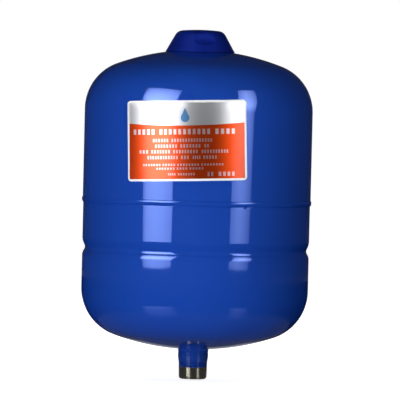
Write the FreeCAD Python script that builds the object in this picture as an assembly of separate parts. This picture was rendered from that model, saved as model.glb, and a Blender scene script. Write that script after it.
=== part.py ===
import FreeCAD, Part
import math
import os

V = FreeCAD.Vector

# Accumulator tank for water: a welded steel body with a rubber diaphragm inside.
# Millimetres, +Z up along the tank's axis, label on the -Y side.
# The origin is the centre of the lower end of the water nipple.

# Pressed steel shells, sizes over the outside
upper_radius = 104.5
lower_radius_step = 0.5
shell_wall = 1.2
upper_crown_radius = 215.5
lower_crown_radius = 228.0
upper_knuckle_radius = 45.0
lower_knuckle_radius = 45.0
upper_skirt = 83.5
lower_skirt = 80.5
nipple_reach = 27.3

# Girth seam: the lower shell's lip stands inside the upper shell
lip_height = 12.0
lip_clearance = 0.1
weld_gap = 1.6
weld_width = 4.4
weld_proud = 1.1

# Groove rolled into the lower shell over the clamp ring
groove_drop = 43.1
groove_depth = 3.0
groove_upper_angle = 23.0
groove_lower_angle = 28.0
groove_upper_bend = 12.0
groove_bottom_bend = 4.5
groove_lower_bend = 9.0

# Liner, diaphragm and clamp ring, packed one inside the other behind the groove
layer_gap = 0.05
liner_wall = 0.8
diaphragm_wall = 1.6
bead_radius = 2.2
pad_radius = 16.0
pad_thickness = 1.6
clamp_wall = 1.5
clamp_height = 27.0
liner_stand = 3.0

# Water nipple with a tapered pipe thread
thread_end_radius = 13.02
thread_pipe_radius = 13.335
thread_taper = 1 / 32
thread_length = 16.5
thread_chamfer = 1.6
collar_radius = 13.85
collar_ramp = 4.0
collar_groove_drop = 3.2
collar_groove_width = 1.0
collar_groove_depth = 0.3
water_bore_radius = 9.0
counterbore_radius = 12.0
counterbore_depth = 11.0
nipple_hole_clearance = 0.1
nipple_weld_leg = 0.9

# Liner neck with its seal ring, pushed into the nipple
liner_bore_radius = 9.6
neck_clearance = 0.1
neck_end_gap = 0.3
ring_groove_depth = 1.5
ring_groove_width = 2.4
ring_groove_rise = 4.0

# Steel boss of the air valve, welded into the upper dome
boss_radius = 11.0
boss_height = 4.8
boss_chamfer = 0.6
boss_spigot_radius = 9.5
boss_spigot_reach = 3.0
boss_hole_clearance = 0.05
boss_weld_leg = 1.6
recess_radius = 8.6

# Brass valve body
hex_across_flats = 14.0
hex_height = 2.5
shank_radius = 4.85
shank_clearance = 0.05
shank_past_cup = 1.5
stem_radius = 3.87
stem_height = 5.0
stem_chamfer = 0.4
valve_ring_width = 1.7
valve_ring_depth = 1.3

# Valve core, from the stem's end downward
core_bore_radius = 2.6
core_lower_bore_radius = 2.3
core_clearance = 0.05
plug_sink = 0.5
plug_length = 4.0
plug_tang_height = 1.2
plug_tang_width = 2.4
plug_bore_radius = 0.65
gasket_drop = 0.5
gasket_length = 2.0
barrel_radius = 1.75
barrel_bore_radius = 1.2
barrel_length = 8.5
barrel_floor = 1.0
barrel_hole_radius = 0.6
pin_radius = 0.4
pin_sink = 0.2
pin_collar_radius = 1.05
pin_collar_height = 0.4
pin_collar_gap = 0.1
pin_stroke = 1.3
cup_radius = 1.7
cup_wall = 0.25
cup_floor = 0.3
cup_height = 1.15
seal_gap = 0.05
seal_proud = 0.2
spring_radius = 0.8
spring_wire_radius = 0.14
spring_turns = 8

# Dust cap of the valve
cap_radius = 5.2
cap_top = 1.0
cap_chamfer = 0.5
cap_thread_clearance = 0.08
cap_base_gap = 0.7
cap_flutes = 12
cap_flute_radius = 0.55
cap_seal_thickness = 0.8
cap_seal_clearance = 0.05
cap_seal_gap = 0.05

# Moulded cover over the valve
cover_base_radius = 31.9
cover_height = 20.5
cover_angle = 29.5
cover_wall = 1.8
cover_top_bend = 8.0
cover_dome_radius = 180.0
cover_gap = 0.25
cover_line_height = 3.2
cover_line_radius = 0.3
hub_clearance = 0.1
hub_wall = 1.3
hub_base_gap = 0.4
rib_count = 4
rib_thickness = 1.2
rib_base_gap = 8.0
scoop_radius = 12.0
scoop_depth = 1.7
scoop_height = 11.8
scoop_azimuth = 9.5

# Rating label, bare of print
label_width_angle = 61.7
label_height = 72.2
label_thickness = 0.2
label_gap = 0.05
label_corner_radius = 3.0
label_base_height = 183.3
label_azimuth = -6.2
label_tilt = 2.0


def line(start, end):
    return Part.LineSegment(start, end).toShape()


def arc(centre, radius, start_angle, end_angle):
    """Arc in the XZ plane; angles in radians from +X towards +Z."""
    def at(angle):
        return centre + V(math.cos(angle), 0, math.sin(angle)) * radius
    return Part.Arc(at(start_angle), at((start_angle + end_angle) / 2), at(end_angle)).toShape()


def end_points(edges):
    """First and last point of edges given in travel order."""
    first = edges[0].valueAt(edges[0].FirstParameter)
    last = edges[-1].valueAt(edges[-1].LastParameter)
    return first, last


def shifted(points, depth):
    """Open outline moved to the left of its travel by depth, with mitred corners."""
    normals = []
    for here, there in zip(points, points[1:]):
        step = there - here
        normals.append(V(-step.z, 0, step.x).normalize())
    moved = [points[0] + normals[0] * depth]
    for before, after, corner in zip(normals, normals[1:], points[1:-1]):
        moved.append(corner + (before + after) * (depth / (1 + before.dot(after))))
    moved.append(points[-1] + normals[-1] * depth)
    return moved


def bent(points, bends, depth=0.0):
    """Edges of a bent sheet's face, depth to the left of the face that the bends are given for."""
    points = shifted(points, depth)
    edges = []
    start = points[0]
    for before, corner, after, bend in zip(points, points[1:], points[2:], bends):
        way_in = (corner - before).normalize()
        way_out = (after - corner).normalize()
        turn = way_in.x * way_out.z - way_in.z * way_out.x
        radius = bend - math.copysign(depth, turn) if bend else 0.0
        if radius <= 0:
            edges.append(line(start, corner))
            start = corner
            continue
        half = way_in.getAngle(way_out) / 2
        enter = corner - way_in * (radius * math.tan(half))
        leave = corner + way_out * (radius * math.tan(half))
        inward = (way_out - way_in).normalize()
        middle = corner + inward * (radius / math.cos(half) - radius)
        edges.append(line(start, enter))
        edges.append(Part.Arc(enter, middle, leave).toShape())
        start = leave
    edges.append(line(start, points[-1]))
    return edges


def turned(edges):
    """Solid of revolution about the tank's axis from closed profile edges."""
    face = Part.Face(Part.Wire(Part.__sortEdges__(edges)))
    return face.revolve(V(0, 0, 0), V(0, 0, 1), 360)


def lathe(corners):
    """Turned solid from its half section, given as (radius, height) corners."""
    points = [V(radius, 0, height) for radius, height in corners]
    return turned([line(a, b) for a, b in zip(points, points[1:] + points[:1])])


def wall(profile, near, far):
    """Turned wall between two depths of a profile."""
    outer = profile(near)
    inner = profile(far)
    outer_start, outer_end = end_points(outer)
    inner_start, inner_end = end_points(inner)
    return turned(outer + inner + [line(outer_start, inner_start), line(outer_end, inner_end)])


def tube(outer_radius, inner_radius, low, high):
    return lathe([(inner_radius, low), (outer_radius, low), (outer_radius, high), (inner_radius, high)])


def seal_ring(radius, section_radius, height):
    return Part.makeTorus(radius, section_radius, V(0, 0, height))


def direction(azimuth):
    """Horizontal direction at an azimuth measured from the front, -Y, towards +X."""
    angle = math.radians(azimuth)
    return V(math.sin(angle), -math.cos(angle), 0)


class Head:
    """Dished end: a spherical crown that runs into the skirt through a knuckle."""

    def __init__(self, radius, crown_radius, knuckle_radius, tangent_height, up):
        self.radius = radius
        self.crown_radius = crown_radius
        self.knuckle_radius = knuckle_radius
        self.tangent_height = tangent_height
        self.up = up
        slant = crown_radius - knuckle_radius
        self.knuckle_offset = radius - knuckle_radius
        self.spread = math.asin(self.knuckle_offset / slant)
        self.crown_height = tangent_height - up * slant * math.cos(self.spread)
        self.apex = self.crown_height + up * crown_radius

    def height(self, radius, depth=0.0):
        """Height of the crown, depth below its outside, at a radius from the axis."""
        reach = self.crown_radius - depth
        return self.crown_height + self.up * math.sqrt(reach ** 2 - radius ** 2)

    def crown(self, start_radius, end_radius, depth=0.0):
        """Edge along the crown between two radii."""
        reach = self.crown_radius - depth
        angles = [self.up * (math.pi / 2 - math.asin(r / reach)) for r in (start_radius, end_radius)]
        return arc(V(0, 0, self.crown_height), reach, *angles)

    def edges(self, inner_radius, depth=0.0):
        """Edges from a hole round the axis out to the skirt."""
        crown_end = (self.crown_radius - depth) * math.sin(self.spread)
        knuckle_centre = V(self.knuckle_offset, 0, self.tangent_height)
        knuckle_start = self.up * (math.pi / 2 - self.spread)
        knuckle = arc(knuckle_centre, self.knuckle_radius - depth, knuckle_start, 0)
        return [self.crown(inner_radius, crown_end, depth), knuckle]


def head_depth(radius, crown_radius, knuckle_radius):
    slant = crown_radius - knuckle_radius
    return crown_radius - math.sqrt(slant ** 2 - (radius - knuckle_radius) ** 2)


# Radii and heights that follow from the driving sizes
lower_radius = upper_radius - lower_radius_step
lower_tangent = nipple_reach + head_depth(lower_radius, lower_crown_radius, lower_knuckle_radius)
seam_height = lower_tangent + lower_skirt
upper_tangent = seam_height + upper_skirt
groove_height = seam_height - groove_drop
groove_rise = groove_depth / math.tan(math.radians(groove_upper_angle))
groove_fall = groove_depth / math.tan(math.radians(groove_lower_angle))
lip_radius = upper_radius - shell_wall - lip_clearance
lip_base = seam_height - weld_gap / 2
upper_edge = seam_height + weld_gap / 2
joggle_base = seam_height - weld_width / 2

lower_head = Head(lower_radius, lower_crown_radius, lower_knuckle_radius, lower_tangent, -1)
upper_head = Head(upper_radius, upper_crown_radius, upper_knuckle_radius, upper_tangent, 1)

# Depths of the layers behind the lower shell's outside
liner_depth = shell_wall + layer_gap
diaphragm_depth = liner_depth + liner_wall + layer_gap
clamp_depth = diaphragm_depth + diaphragm_wall + layer_gap
clamp_top = groove_height + clamp_height / 2
bead_height = clamp_top + layer_gap + bead_radius
liner_top = bead_height + bead_radius + liner_stand

# Nipple and liner neck
nipple_top = lower_head.height(0, shell_wall)
collar_top = lower_head.height(collar_radius)
nipple_hole_radius = collar_radius + nipple_hole_clearance
counterbore_floor = nipple_top - counterbore_depth
neck_radius = counterbore_radius - neck_clearance
neck_end = counterbore_floor + neck_end_gap
ring_groove_base = neck_end + ring_groove_rise

# Air valve
boss_hole_radius = boss_spigot_radius + boss_hole_clearance
boss_top = upper_head.apex + boss_height
recess_floor = boss_top - hex_height
boss_end = upper_head.height(boss_spigot_radius, shell_wall) - boss_spigot_reach
boss_bore_radius = shank_radius + shank_clearance
stem_end = boss_top + stem_height
plug_top = stem_end - plug_sink
plug_base = plug_top - plug_length
gasket_top = plug_base - gasket_drop
gasket_base = gasket_top - gasket_length
barrel_base = plug_base - barrel_length
pin_collar_top = plug_base - pin_collar_gap
pin_collar_base = pin_collar_top - pin_collar_height
cup_rim = barrel_base - seal_gap - seal_proud
cup_base = cup_rim - cup_height
shank_end = cup_base - pin_stroke - shank_past_cup

# Dust cap and cover
cap_base = boss_top + cap_base_gap
cap_bore_radius = stem_radius + cap_thread_clearance
cap_seal_base = stem_end + cap_seal_gap
cap_ceiling = cap_seal_base + cap_seal_thickness
cover_base = upper_head.height(cover_base_radius) + cover_gap
cover_top = cover_base + cover_height
hub_radius = boss_radius + hub_clearance


def barrel_points(low, high):
    """Corners of the lower shell's skirt between two heights, through the groove."""
    return [
        V(lower_radius, 0, low),
        V(lower_radius, 0, groove_height - groove_fall),
        V(lower_radius - groove_depth, 0, groove_height),
        V(lower_radius, 0, groove_height + groove_rise),
        V(lower_radius, 0, high),
    ]


groove_bends = [groove_lower_bend, groove_bottom_bend, groove_upper_bend]


def clamp_profile(depth):
    return bent(barrel_points(groove_height - clamp_height / 2, clamp_top), groove_bends, depth)


def liner_profile(depth):
    skirt = bent(barrel_points(lower_tangent, liner_top), groove_bends, depth)
    return lower_head.edges(liner_bore_radius, depth) + skirt


def diaphragm_profile(depth):
    skirt = bent(barrel_points(lower_tangent, bead_height), groove_bends, depth)
    return lower_head.edges(0, depth) + skirt


def lower_shell_profile(depth):
    points = barrel_points(lower_tangent, joggle_base)
    points += [V(lip_radius, 0, lip_base), V(lip_radius, 0, lip_base + lip_height)]
    return lower_head.edges(nipple_hole_radius, depth) + bent(points, groove_bends + [0, 0], depth)


def upper_skin(inner_radius, depth):
    """Upper shell's face, from its lower edge to a hole in the crown."""
    edges = upper_head.edges(inner_radius, depth)
    skirt = line(V(upper_radius - depth, 0, upper_tangent), V(upper_radius - depth, 0, upper_edge))
    return edges + [skirt]


def upper_shell():
    return wall(lambda depth: upper_skin(boss_hole_radius, depth), 0, shell_wall)


def lower_shell():
    return wall(lower_shell_profile, 0, shell_wall)


def girth_weld():
    """Weld that fills the seam and stands proud of both shells as a rounded bead."""
    top = V(upper_radius, 0, seam_height + weld_width / 2)
    crest = V(upper_radius + weld_proud, 0, seam_height)
    bottom = V(lower_radius, 0, joggle_base)
    root = [bottom, V(lip_radius, 0, lip_base), V(lip_radius, 0, upper_edge), V(upper_radius, 0, upper_edge), top]
    return turned([Part.Arc(top, crest, bottom).toShape()] + [line(a, b) for a, b in zip(root, root[1:])])


def clamp_ring():
    return wall(clamp_profile, clamp_depth, clamp_depth + clamp_wall)


def water_liner():
    """Liner cup with a neck that lines the top of the nipple."""
    cup = wall(liner_profile, liner_depth, liner_depth + liner_wall)
    seat = lower_head.height(0, liner_depth + liner_wall / 2)
    groove_floor = neck_radius - ring_groove_depth
    groove_top = ring_groove_base + ring_groove_width
    neck = lathe([
        (liner_bore_radius, neck_end), (neck_radius, neck_end),
        (neck_radius, ring_groove_base), (groove_floor, ring_groove_base),
        (groove_floor, groove_top), (neck_radius, groove_top),
        (neck_radius, seat), (liner_bore_radius, seat),
    ])
    return cup.fuse(neck).removeSplitter()


def diaphragm():
    """Diaphragm at rest on the liner: bead at the rim and a thick pad over the water port."""
    cup = wall(diaphragm_profile, diaphragm_depth, diaphragm_depth + diaphragm_wall)
    bead = seal_ring(lower_radius - diaphragm_depth - bead_radius, bead_radius, bead_height)
    face = diaphragm_depth + diaphragm_wall
    pad_low = lower_head.crown(0, pad_radius, face - diaphragm_wall / 2)
    pad_high = lower_head.crown(0, pad_radius, face + pad_thickness)
    low_start, low_end = end_points([pad_low])
    high_start, high_end = end_points([pad_high])
    pad = turned([pad_low, pad_high, line(low_start, high_start), line(low_end, high_end)])
    return cup.fuse([bead, pad]).removeSplitter()


def water_nipple():
    """Nipple with a plain cone at the size of the thread's crests."""
    taper_end = (thread_pipe_radius - thread_end_radius) / thread_taper
    chamfer_radius = thread_end_radius + thread_chamfer * thread_taper
    groove_top = collar_top - collar_groove_drop
    groove_base = groove_top - collar_groove_width
    groove_floor = collar_radius - collar_groove_depth
    return lathe([
        (water_bore_radius, 0), (chamfer_radius - thread_chamfer, 0),
        (chamfer_radius, thread_chamfer), (thread_pipe_radius, taper_end),
        (thread_pipe_radius, thread_length), (collar_radius, thread_length + collar_ramp),
        (collar_radius, groove_base), (groove_floor, (groove_base + groove_top) / 2),
        (collar_radius, groove_top), (collar_radius, nipple_top),
        (counterbore_radius, nipple_top), (counterbore_radius, counterbore_floor),
        (water_bore_radius, counterbore_floor),
    ])


def fillet_weld(head, radius, leg):
    """Hollow fillet weld in the corner between a post and the outside of a dome."""
    toe = V(radius + leg, 0, head.height(radius + leg))
    top = V(radius, 0, head.height(radius) + head.up * leg)
    inner = V(radius, 0, head.height(radius))
    sag = V(radius + leg * 0.4, 0, inner.z + head.up * leg * 0.4)
    return turned([Part.Arc(toe, sag, top).toShape(), line(top, inner), head.crown(radius, radius + leg)])


def nipple_weld():
    return fillet_weld(lower_head, collar_radius, nipple_weld_leg)


def nipple_seal_ring():
    section = (ring_groove_depth + neck_clearance) / 2
    return seal_ring(counterbore_radius - section, section, ring_groove_base + ring_groove_width / 2)


def valve_boss():
    """Boss seated on the dome, with a recess for the valve's hexagon and a groove for its ring."""
    seat = upper_head.crown(boss_spigot_radius, boss_radius)
    spigot_corner, seat_corner = end_points([seat])
    ring_radius = boss_bore_radius + valve_ring_width
    corners = [
        seat_corner,
        V(boss_radius, 0, boss_top - boss_chamfer), V(boss_radius - boss_chamfer, 0, boss_top),
        V(recess_radius, 0, boss_top), V(recess_radius, 0, recess_floor),
        V(ring_radius, 0, recess_floor), V(ring_radius, 0, recess_floor - valve_ring_depth),
        V(boss_bore_radius, 0, recess_floor - valve_ring_depth), V(boss_bore_radius, 0, boss_end),
        V(boss_spigot_radius, 0, boss_end), spigot_corner,
    ]
    return turned([seat] + [line(a, b) for a, b in zip(corners, corners[1:])])


def boss_weld():
    return fillet_weld(upper_head, boss_radius, boss_weld_leg)


def valve_body():
    """Hexagon, threaded stem and shank of the valve, bored for the core."""
    across_corners = hex_across_flats / math.cos(math.pi / 6)
    corners = [V(math.cos(a), math.sin(a), 0) * (across_corners / 2)
               for a in (math.radians(60 * i) for i in range(6))]
    base = [corner + V(0, 0, recess_floor) for corner in corners]
    hexagon = Part.Face(Part.makePolygon(base + base[:1])).extrude(V(0, 0, hex_height))
    post = lathe([
        (0, shank_end), (shank_radius, shank_end), (shank_radius, recess_floor),
        (stem_radius, recess_floor), (stem_radius, stem_end - stem_chamfer),
        (stem_radius - stem_chamfer, stem_end), (0, stem_end),
    ])
    bore = lathe([
        (0, shank_end), (core_lower_bore_radius, shank_end), (core_lower_bore_radius, gasket_base),
        (core_bore_radius, gasket_top), (core_bore_radius, stem_end), (0, stem_end),
    ])
    return hexagon.fuse(post).cut(bore).removeSplitter()


def valve_seal_ring():
    section = valve_ring_depth / 2
    return seal_ring(boss_bore_radius + valve_ring_width / 2, section, recess_floor - section)


def core_plug():
    """Threaded plug of the core with a flat tang for the key."""
    radius = core_bore_radius - core_clearance
    shoulder = plug_top - plug_tang_height
    body = tube(radius, plug_bore_radius, plug_base, plug_top)
    tang = Part.makeBox(2 * radius, plug_tang_width, plug_tang_height, V(-radius, -plug_tang_width / 2, shoulder))
    collar = tube(radius, plug_bore_radius, plug_base, shoulder)
    return body.common(tang).fuse(collar).removeSplitter()


def core_barrel():
    floor_top = barrel_base + barrel_floor
    return lathe([
        (barrel_hole_radius, barrel_base), (barrel_radius, barrel_base), (barrel_radius, plug_base),
        (barrel_bore_radius, plug_base), (barrel_bore_radius, floor_top), (barrel_hole_radius, floor_top),
    ])


def core_gasket():
    """Tapered ring that seals the barrel in the valve's cone."""
    return lathe([
        (barrel_radius, gasket_base), (core_lower_bore_radius - core_clearance, gasket_base),
        (core_bore_radius - core_clearance, gasket_top), (barrel_radius, gasket_top),
    ])


def core_pin():
    return lathe([
        (0, cup_base + cup_floor), (pin_radius, cup_base + cup_floor), (pin_radius, pin_collar_base),
        (pin_collar_radius, pin_collar_base), (pin_collar_radius, pin_collar_top),
        (pin_radius, pin_collar_top), (pin_radius, stem_end - pin_sink), (0, stem_end - pin_sink),
    ])


def core_cup():
    inner_radius = cup_radius - cup_wall
    return lathe([
        (0, cup_base), (cup_radius, cup_base), (cup_radius, cup_rim),
        (inner_radius, cup_rim), (inner_radius, cup_base + cup_floor), (0, cup_base + cup_floor),
    ])


def core_seal():
    return tube(cup_radius - cup_wall, pin_radius, cup_base + cup_floor, cup_rim + seal_proud)


def core_spring():
    """Coil spring that lifts the pin's collar and so shuts the core."""
    low = barrel_base + barrel_floor + spring_wire_radius
    rise = pin_collar_base - spring_wire_radius - low
    helix = Part.makeHelix(rise / spring_turns, rise, spring_radius)
    helix.translate(V(0, 0, low))
    section = Part.Wire(Part.makeCircle(spring_wire_radius, V(spring_radius, 0, low), V(0, 1, 0)))
    return Part.Wire(helix).makePipeShell([section], True, True)


def dust_cap():
    """Cap with finger flutes round its skirt."""
    top = cap_ceiling + cap_top
    cap = lathe([
        (cap_bore_radius, cap_base), (cap_radius, cap_base), (cap_radius, top - cap_chamfer),
        (cap_radius - cap_chamfer, top), (0, top), (0, cap_ceiling), (cap_bore_radius, cap_ceiling),
    ])
    flutes = []
    for i in range(cap_flutes):
        foot = direction(360 * i / cap_flutes) * (cap_radius + cap_flute_radius / 2)
        foot.z = cap_base
        flutes.append(Part.makeCylinder(cap_flute_radius, top - cap_chamfer * 2 - cap_base, foot))
    return cap.cut(flutes)


def dust_cap_seal():
    return Part.makeCylinder(cap_bore_radius - cap_seal_clearance, cap_seal_thickness, V(0, 0, cap_seal_base))


def cover_form(inset, base):
    """Solid form of the cover moved inward by inset, from a base height to its domed top."""
    slope = math.tan(math.radians(cover_angle))
    skew = inset / math.cos(math.radians(cover_angle))
    foot_radius = cover_base_radius + (cover_base - base) * slope - skew
    cone = Part.makeCone(foot_radius, foot_radius - (cover_top - base) * slope, cover_top - base, V(0, 0, base))
    dome = Part.makeSphere(cover_dome_radius - inset, V(0, 0, cover_top - cover_dome_radius))
    form = cone.common(dome)
    circles = [edge for edge in form.Edges if edge.Closed and not edge.Degenerated]
    rim = max(circles, key=lambda edge: edge.CenterOfMass.z)
    form = form.makeFillet(cover_top_bend - inset, [rim])
    return form.cut(scoop(inset))


def scoop(inset):
    """Rod across the cover's front that leaves the thumb scoop, thickened by inset."""
    angle = math.radians(cover_angle)
    out = direction(scoop_azimuth)
    along = V(-out.y, out.x, 0)
    surface = out * (cover_base_radius - scoop_height * math.tan(angle)) + V(0, 0, cover_base + scoop_height)
    normal = out * math.cos(angle) + V(0, 0, math.sin(angle))
    centre = surface + normal * (scoop_radius - scoop_depth)
    length = 2 * cover_base_radius
    return Part.makeCylinder(scoop_radius + inset, length, centre - along * (length / 2), along)


def valve_cover():
    """Hollow cover with a hub that grips the boss and ribs from the hub to the skirt."""
    outer = cover_form(0, cover_base)
    hollow = cover_form(cover_wall, cover_base - cover_wall)
    hub_base = upper_head.height(boss_radius) + boss_weld_leg + hub_base_gap
    hub = tube(hub_radius + hub_wall, hub_radius, hub_base, cover_top)
    ribs = []
    for i in range(rib_count):
        rib = Part.makeBox(cover_base_radius, rib_thickness, cover_height - rib_base_gap,
                           V(hub_radius + hub_wall / 2, -rib_thickness / 2, cover_base + rib_base_gap))
        rib.rotate(V(0, 0, 0), V(0, 0, 1), scoop_azimuth - 90 + 360 * (i + 0.5) / rib_count)
        ribs.append(rib)
    line_radius = cover_base_radius - cover_line_height * math.tan(math.radians(cover_angle))
    rim_line = seal_ring(line_radius, cover_line_radius, cover_base + cover_line_height)
    inside = hub.fuse(ribs).common(hollow)
    return outer.cut(hollow).fuse(inside).cut(rim_line).removeSplitter()


def rounded_plate(width, height, radius):
    """Upright face in the XZ plane, centred on the origin, with rounded corners."""
    corners = [V(x * (width / 2 - radius), 0, z * (height / 2 - radius))
               for x, z in ((1, -1), (1, 1), (-1, 1), (-1, -1))]
    edges = []
    for i, corner in enumerate(corners):
        start = math.radians(90 * i - 90)
        edges.append(arc(corner, radius, start, start + math.pi / 2))
    for i, corner in enumerate(corners):
        side = math.radians(90 * i)
        step = V(math.cos(side), 0, math.sin(side)) * radius
        edges.append(line(corner + step, corners[(i + 1) % 4] + step))
    return Part.Face(Part.Wire(Part.__sortEdges__(edges)))


def rating_label():
    """Thin label wrapped on the upper shell, a little crooked, its top edge on the shoulder."""
    skin = wall(lambda depth: upper_skin(boss_hole_radius, depth), -label_gap - label_thickness, -label_gap)
    width = 2 * upper_radius * math.sin(math.radians(label_width_angle / 2))
    cutter = rounded_plate(width, label_height, label_corner_radius).extrude(V(0, -2 * upper_radius, 0))
    cutter.rotate(V(0, 0, 0), V(0, 1, 0), -label_tilt)
    cutter.rotate(V(0, 0, 0), V(0, 0, 1), label_azimuth)
    cutter.translate(V(0, 0, label_base_height + label_height / 2))
    return skin.common(cutter)


nodes = {
    "upper_shell": upper_shell,
    "lower_shell": lower_shell,
    "girth_weld": girth_weld,
    "clamp_ring": clamp_ring,
    "water_liner": water_liner,
    "diaphragm": diaphragm,
    "water_nipple": water_nipple,
    "nipple_weld": nipple_weld,
    "nipple_seal_ring": nipple_seal_ring,
    "valve_boss": valve_boss,
    "boss_weld": boss_weld,
    "valve_body": valve_body,
    "valve_seal_ring": valve_seal_ring,
    "core_plug": core_plug,
    "core_barrel": core_barrel,
    "core_gasket": core_gasket,
    "core_pin": core_pin,
    "core_cup": core_cup,
    "core_seal": core_seal,
    "core_spring": core_spring,
    "dust_cap": dust_cap,
    "dust_cap_seal": dust_cap_seal,
    "valve_cover": valve_cover,
    "rating_label": rating_label,
}

os.makedirs("parts", exist_ok=True)
for name, make in nodes.items():
    shape = make()
    if len(shape.Solids) != 1 or not shape.isValid():
        raise ValueError(name + " isn't one sound solid")
    shape = shape.Solids[0]
    shape.exportStep("parts/" + name + ".step")
    print(name, round(shape.Volume, 2), shape.BoundBox)
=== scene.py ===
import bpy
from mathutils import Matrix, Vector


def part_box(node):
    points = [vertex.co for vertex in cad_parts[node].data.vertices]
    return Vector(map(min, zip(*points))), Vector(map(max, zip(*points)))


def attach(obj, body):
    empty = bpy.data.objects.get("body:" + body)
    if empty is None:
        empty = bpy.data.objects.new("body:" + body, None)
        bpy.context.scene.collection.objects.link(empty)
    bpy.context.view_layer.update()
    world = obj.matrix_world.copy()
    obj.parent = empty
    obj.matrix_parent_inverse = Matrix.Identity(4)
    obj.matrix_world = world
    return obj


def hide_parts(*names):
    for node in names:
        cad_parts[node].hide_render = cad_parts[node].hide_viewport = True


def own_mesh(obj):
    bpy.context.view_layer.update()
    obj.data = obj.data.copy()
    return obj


bl_info = {
    "name": "Accumulator tank",
    "version": (1, 0, 0),
    "blender": (4, 5, 0),
    "location": "3D View > Sidebar > Tank",
    "description": "Dresses a welded water accumulator: enamel, weld, label, thread, spring and a small studio",
    "category": "Object",
}

import math

import bpy
from bpy.props import FloatProperty, FloatVectorProperty, PointerProperty
from mathutils import Matrix, Vector, noise

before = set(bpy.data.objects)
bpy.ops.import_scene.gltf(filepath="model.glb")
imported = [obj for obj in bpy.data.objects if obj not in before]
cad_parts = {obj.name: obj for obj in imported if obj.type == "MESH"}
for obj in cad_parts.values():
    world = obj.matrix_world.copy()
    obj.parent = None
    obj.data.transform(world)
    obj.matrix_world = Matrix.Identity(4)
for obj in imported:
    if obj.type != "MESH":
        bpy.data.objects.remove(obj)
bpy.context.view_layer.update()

MM = 0.001
INCH = 25.4 * MM

# The label, flat: width and height in millimetres
LABEL_AZIMUTH = math.radians(-6.2)
LABEL_WIDTH = 112.4
LABEL_HEIGHT = 72.2
LABEL_TILT = math.radians(2.0)

# The shells; skirts and groove are measured from the seam
SHELL_WALL = 1.2 * MM
SEAM_STEP = 0.5 * MM
KNUCKLE_RADIUS = 45 * MM
UPPER_CROWN_RADIUS = 215.5 * MM
UPPER_SKIRT = 83.5 * MM
UPPER_HOLE_RADIUS = 9.55 * MM
LOWER_CROWN_RADIUS = 228 * MM
LOWER_SKIRT = 80.5 * MM
LOWER_HOLE_RADIUS = 13.95 * MM
GROOVE_DROP = 43.8 * MM
GROOVE_DEPTH = 3.0 * MM
GROOVE_UPPER_SLOPE = math.radians(23)
GROOVE_LOWER_SLOPE = math.radians(34)
JOGGLE_START = 2.2 * MM
SEAM_GAP = 0.8 * MM
LIP_CLEARANCE = 0.1 * MM
LIP_HEIGHT = 11.2 * MM

# The valve core
SPRING_COIL_RADIUS = 0.8 * MM
SPRING_WIRE_RADIUS = 0.14 * MM
SPRING_TURNS = 8


def box_radius(node):
    """Outside radius of a turned CAD node."""
    low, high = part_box(node)
    return max(high.x, high.y, -low.x, -low.y)


def middle_height(node):
    """Height of the middle of a CAD node."""
    low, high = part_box(node)
    return (low.z + high.z) / 2


SHELL_RADIUS = box_radius("upper_shell")
LOWER_RADIUS = SHELL_RADIUS - SEAM_STEP
SEAM_HEIGHT = middle_height("girth_weld")
NIPPLE_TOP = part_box("water_nipple")[1].z


# Sizes and colours that a user would change

class PaintSettings(bpy.types.PropertyGroup):
    colour: FloatVectorProperty(
        name="Colour", description="Colour of the tank's enamel", subtype="COLOR",
        size=3, min=0, max=1, default=(0.0110, 0.066, 0.45))
    sheen: FloatVectorProperty(
        name="Highlight", description="Tint of the enamel's highlights, seen square on", subtype="COLOR",
        size=3, min=0, max=1, default=(0.30, 0.435, 1.0))
    roughness: FloatProperty(
        name="Roughness", description="Roughness of the enamel's gloss", min=0, max=1, default=0.03)
    peel: FloatProperty(
        name="Orange peel", description="Height of the fine waves left by spraying",
        unit="LENGTH", precision=6, default=0.0006 * MM)


class CoverSettings(bpy.types.PropertyGroup):
    colour: FloatVectorProperty(
        name="Colour", description="Colour of the moulded valve cover", subtype="COLOR",
        size=3, min=0, max=1, default=(0.0030, 0.014, 0.21))
    sheen: FloatVectorProperty(
        name="Highlight", description="Tint of the plastic's highlights, seen square on", subtype="COLOR",
        size=3, min=0, max=1, default=(0.15, 0.25, 1.0))
    roughness: FloatProperty(
        name="Roughness", description="Roughness of the moulded face", min=0, max=1, default=0.42)


class WeldSettings(bpy.types.PropertyGroup):
    width: FloatProperty(
        name="Width", description="Width of the girth bead", unit="LENGTH", precision=5, default=5.4 * MM)
    proud: FloatProperty(
        name="Height", description="How far the bead stands out of the upper shell",
        unit="LENGTH", precision=5, default=1.1 * MM)
    ripple_pitch: FloatProperty(
        name="Ripple pitch", description="Distance from one ripple of the bead to the next",
        unit="LENGTH", precision=5, default=2.2 * MM)
    ripple_depth: FloatProperty(
        name="Ripple depth", description="Depth of the valleys between ripples",
        unit="LENGTH", precision=6, default=0.035 * MM)
    run_azimuth: FloatProperty(
        name="Run azimuth", description="Place of the small run of paint under the bead",
        subtype="ANGLE", default=math.radians(24.7))


class ThreadSettings(bpy.types.PropertyGroup):
    pitch: FloatProperty(
        name="Pitch", description="Distance between crests, 14 to the inch",
        unit="LENGTH", precision=6, default=INCH / 14)
    depth: FloatProperty(
        name="Depth", description="Depth of the thread's groove",
        unit="LENGTH", precision=6, default=0.8 * MM)
    crest: FloatProperty(
        name="Crest", description="Share of the pitch that is flat crest", min=0, max=1, default=0.34)
    root: FloatProperty(
        name="Root", description="Share of the pitch that is flat root", min=0, max=1, default=0.12)
    paint_edge: FloatProperty(
        name="Paint edge", description="Height at which the paint stops on the thread",
        unit="LENGTH", precision=5, default=11.0 * MM)


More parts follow.
